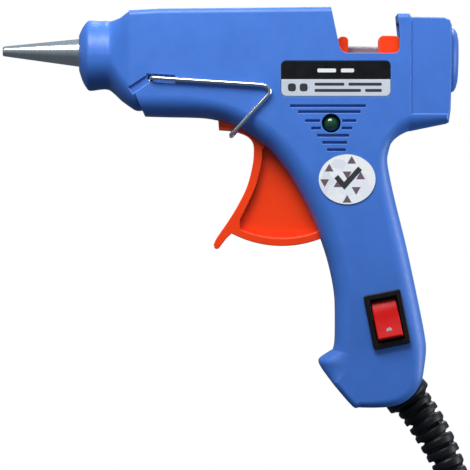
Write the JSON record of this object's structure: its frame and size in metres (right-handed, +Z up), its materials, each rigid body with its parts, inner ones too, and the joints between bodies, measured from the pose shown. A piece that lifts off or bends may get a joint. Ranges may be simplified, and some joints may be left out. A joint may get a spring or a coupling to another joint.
{
  "type": "glue gun",
  "caption": "Mini hot-melt glue gun with a sprung trigger, swinging wire stand, rocker switch and its lead tied in a hank.",
  "frame": {"origin": "middle of the grip, on the parting plane, where a hand holds the gun", "axes": "-X towards the nozzle along the barrel, +Y across towards the far side, +Z up with the grip hanging below the barrel"},
  "size_m": [0.1469, 0.031, 0.3268],
  "materials": {
    "housing_blue": "satin",
    "trigger_orange": "gloss",
    "rocker_red": "gloss",
    "black_plastic": "satin",
    "black_rubber": "matte",
    "nozzle_metal": "polished",
    "cast_metal": "cast",
    "spring_steel": "satin",
    "stand_wire": "bright",
    "screw_steel": "zinc",
    "contact_brass": "plain",
    "silicone": "matte",
    "glue": "translucent",
    "green_lens": "gloss",
    "label_film": "gloss",
    "foil": "foil",
    "lead_blue": "satin",
    "lead_brown": "satin"
  },
  "bodies": {
    "gun": {"left_shell": "housing_blue", "right_shell": "housing_blue", "nozzle": "nozzle_metal", "melt_chamber": "cast_metal", "ptc_heater": "black_plastic", "heater_clip": "spring_steel", "inlet_sleeve": "silicone", "sleeve_band": "spring_steel", "trigger_pin": "spring_steel", "return_spring": "spring_steel", "switch_body": "black_plastic", "switch_terminal_in": "contact_brass", "switch_terminal_out": "contact_brass", "rating_label": "label_film", "check_sticker": "foil", "led": "green_lens", "led_resistor": "black_plastic", "housing_screw_1": "screw_steel", "housing_screw_2": "screw_steel", "housing_screw_3": "screw_steel", "housing_screw_4": "screw_steel", "housing_screw_5": "screw_steel", "cord_clamp": "black_plastic", "clamp_screw_1": "screw_steel", "clamp_screw_2": "screw_steel", "strain_relief": "black_rubber", "cord_tail": "black_rubber", "lead_neutral": "lead_blue", "lead_switched": "lead_brown", "lead_live": "lead_brown", "power_cord": "black_rubber", "cord_hank": "black_rubber", "cord_tie": "black_plastic", "cord_end": "black_rubber", "plug_body": "black_rubber", "plug_pin_a": "contact_brass", "plug_pin_b": "contact_brass"},
    "trigger": {"trigger": "trigger_orange"},
    "carriage": {"carriage": "trigger_orange", "pawl_pin": "spring_steel"},
    "pawl": {"grip_pawl": "spring_steel"},
    "stick": {"glue_stick": "glue"},
    "stand": {"stand_wire": "stand_wire"},
    "rocker": {"switch_rocker": "rocker_red"}
  },
  "joints": [
    {"name": "trigger_pull", "type": "hinge", "parent": "gun", "child": "trigger", "pos_m": [-0.0406, 0, 0.0447], "axis": [0, -1, 0], "range_deg": [0, 18], "stiffness_Nm_per_rad": 0.03, "springref_deg": -20.05, "deforming": ["return_spring"]},
    {"name": "carriage_feed", "type": "slide", "parent": "gun", "child": "carriage", "axis": [-0.9998, 0, 0.0201], "range_m": [0, 0.0048]},
    {"name": "stick_feed", "type": "slide", "parent": "gun", "child": "stick", "axis": [-0.9998, 0, 0.0201], "range_m": [0, 0.0048]},
    {"name": "pawl_bite", "type": "hinge", "parent": "carriage", "child": "pawl", "pos_m": [0.00757, 0, 0.05295], "axis": [0, 1, 0], "range_deg": [0, 3]},
    {"name": "stand_swing", "type": "hinge", "parent": "gun", "child": "stand", "pos_m": [-0.0624, 0, 0.0536], "axis": [0, 1, 0], "range_deg": [0, 139]},
    {"name": "switch_rock", "type": "hinge", "parent": "gun", "child": "rocker", "pos_m": [0.0059, -0.0125, -0.0162], "axis": [0.981, 0, 0.1942], "range_deg": [0, 18]}
  ],
  "couplings": [
    {"joint": "carriage_feed", "follows": "trigger_pull", "m_per_rad": 0.0148},
    {"joint": "stick_feed", "follows": "trigger_pull", "m_per_rad": 0.0148},
    {"joint": "pawl_bite", "follows": "trigger_pull", "ratio": 0.15}
  ]
}
